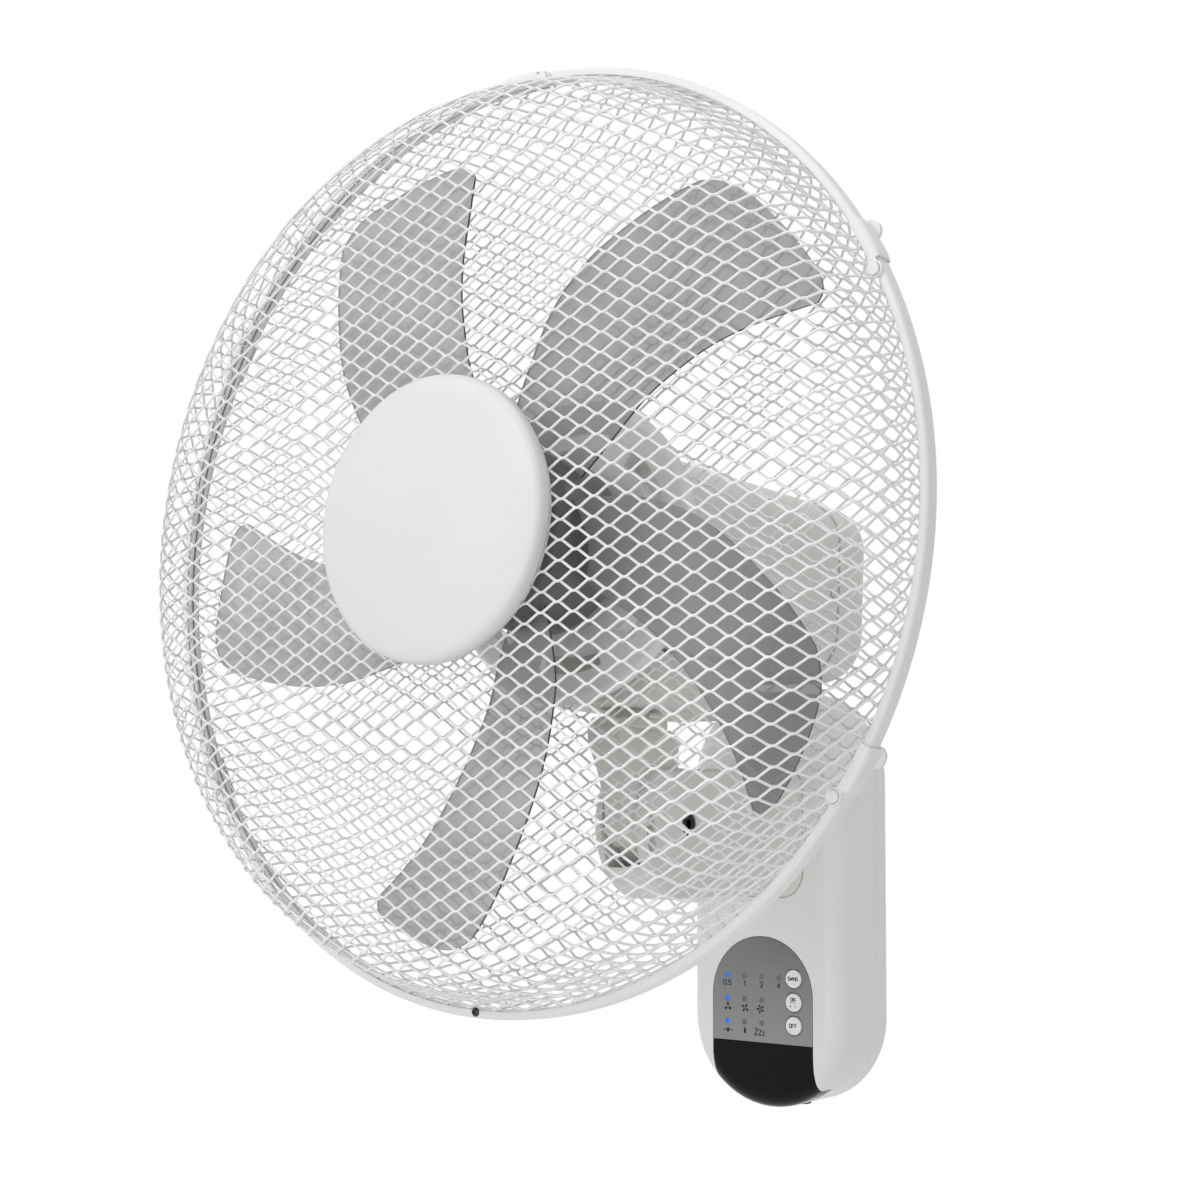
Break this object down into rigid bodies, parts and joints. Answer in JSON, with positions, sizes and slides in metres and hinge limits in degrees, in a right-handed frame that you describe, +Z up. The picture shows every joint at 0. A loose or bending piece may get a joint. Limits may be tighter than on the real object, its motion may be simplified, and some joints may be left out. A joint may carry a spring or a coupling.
{
  "type": "wall mounted fan",
  "caption": "White wall mounted fan: dished diamond wire guard, smoky swept blades, tilting and swinging head, and a stadium wall housing with buttons and status lights.",
  "frame": {"origin": "centre of the back face of the wall plate, on the wall", "axes": "+X to the right seen from the front, +Y into the wall, +Z up; the fan faces -Y"},
  "size_m": [0.44, 0.3248, 0.5211],
  "materials": {
    "white_plastic": "satin",
    "beige_plastic": "matte",
    "white_wire": "gloss",
    "smoke_plastic": "gloss",
    "grey_panel": "satin",
    "black_gloss": "gloss",
    "black_plastic": "matte",
    "black_rubber": "matte",
    "light_pipe": "gloss",
    "circuit_board": "satin",
    "nylon": "satin",
    "steel": "satin",
    "core_steel": "satin",
    "copper": "satin",
    "bare_aluminium": "satin"
  },
  "bodies": {
    "wall_base": {"wall_bracket": "steel", "housing_back": "white_plastic", "housing_front": "white_plastic", "control_panel": "grey_panel", "receiver_window": "black_gloss", "light_guide": "light_pipe", "control_board": "circuit_board", "infrared_receiver": "black_plastic", "cord_gland": "black_rubber", "housing_screw_1": "steel", "housing_screw_2": "steel", "support_arm": "white_plastic", "tilt_pin": "steel"},
    "neck_body": {"neck": "beige_plastic", "swing_pin": "steel", "swing_gear": "nylon"},
    "head": {"head_base": "beige_plastic", "motor_front_shell": "white_plastic", "motor_rear_shell": "white_plastic", "swing_motor": "bare_aluminium", "stator_core": "core_steel", "front_winding": "copper", "rear_winding": "copper", "front_motor_bracket": "bare_aluminium", "rear_motor_bracket": "bare_aluminium", "front_bearing": "steel", "rear_bearing": "steel", "guard_snout": "white_plastic", "seam_screw_1": "steel", "seam_screw_2": "steel", "rear_guard": "white_wire", "guard_plate": "white_plastic", "guard_nut": "white_plastic", "front_guard": "white_wire", "guard_ring": "white_plastic", "front_cap": "white_plastic", "cap_retainer": "white_plastic", "ring_screw": "steel"},
    "rotating_set": {"fan_blades": "smoke_plastic", "motor_shaft": "steel", "rotor": "core_steel", "blade_nut": "black_plastic"},
    "pinion": {"swing_pinion": "nylon"},
    "swing_button_body": {"swing_button": "white_plastic"},
    "on_button_body": {"on_button": "white_plastic"},
    "off_button_body": {"off_button": "white_plastic"},
    "clip_1": {"ring_clip_1": "white_plastic"},
    "clip_2": {"ring_clip_2": "white_plastic"},
    "clip_3": {"ring_clip_3": "white_plastic"},
    "clip_4": {"ring_clip_4": "white_plastic"},
    "clip_5": {"ring_clip_5": "white_plastic"}
  },
  "joints": [
    {"name": "tilt", "type": "hinge", "parent": "wall_base", "child": "neck_body", "pos_m": [0, -0.14006, 0.04234], "axis": [1, 0, 0], "range_deg": [0, 22]},
    {"name": "swing", "type": "hinge", "parent": "neck_body", "child": "head", "pos_m": [0, -0.16901, 0.1044], "axis": [0, 0.0663, 0.9978], "range_deg": [-40, 40]},
    {"name": "fan_spin", "type": "hinge", "parent": "head", "child": "rotating_set", "pos_m": [0, -0.26142, 0.17668], "axis": [0, 0.9978, -0.0663], "continuous": true},
    {"name": "pinion_spin", "type": "hinge", "parent": "head", "child": "pinion", "pos_m": [0, -0.13728, 0.1068], "axis": [0, 0.0663, 0.9978], "range_deg": [-130, 130]},
    {"name": "swing_button_press", "type": "slide", "parent": "wall_base", "child": "swing_button_body", "axis": [0, 1, 0], "range_m": [0, 0.001], "stiffness_N_per_m": 800, "springref_m": -0.001},
    {"name": "on_button_press", "type": "slide", "parent": "wall_base", "child": "on_button_body", "axis": [0, 1, 0], "range_m": [0, 0.001], "stiffness_N_per_m": 800, "springref_m": -0.001},
    {"name": "off_button_press", "type": "slide", "parent": "wall_base", "child": "off_button_body", "axis": [0, 1, 0], "range_m": [0, 0.001], "stiffness_N_per_m": 800, "springref_m": -0.001},
    {"name": "clip_1_open", "type": "hinge", "parent": "head", "child": "clip_1", "pos_m": [0.19324, -0.25497, 0.27387], "axis": [0, 0.9978, -0.0663], "range_deg": [0, 60]},
    {"name": "clip_2_open", "type": "hinge", "parent": "head", "child": "clip_2", "pos_m": [0.01227, -0.2471, 0.39226], "axis": [0, 0.9978, -0.0663], "range_deg": [0, 60]},
    {"name": "clip_3_open", "type": "hinge", "parent": "head", "child": "clip_3", "pos_m": [-0.18097, -0.25356, 0.29507], "axis": [0, 0.9978, -0.0663], "range_deg": [0, 60]},
    {"name": "clip_4_open", "type": "hinge", "parent": "head", "child": "clip_4", "pos_m": [-0.19324, -0.26788, 0.07949], "axis": [0, 0.9978, -0.0663], "range_deg": [0, 60]},
    {"name": "clip_5_open", "type": "hinge", "parent": "head", "child": "clip_5", "pos_m": [0.18097, -0.26929, 0.05829], "axis": [0, 0.9978, -0.0663], "range_deg": [0, 60]}
  ],
  "couplings": [
    {"joint": "pinion_spin", "follows": "swing", "ratio": 3.2}
  ]
}
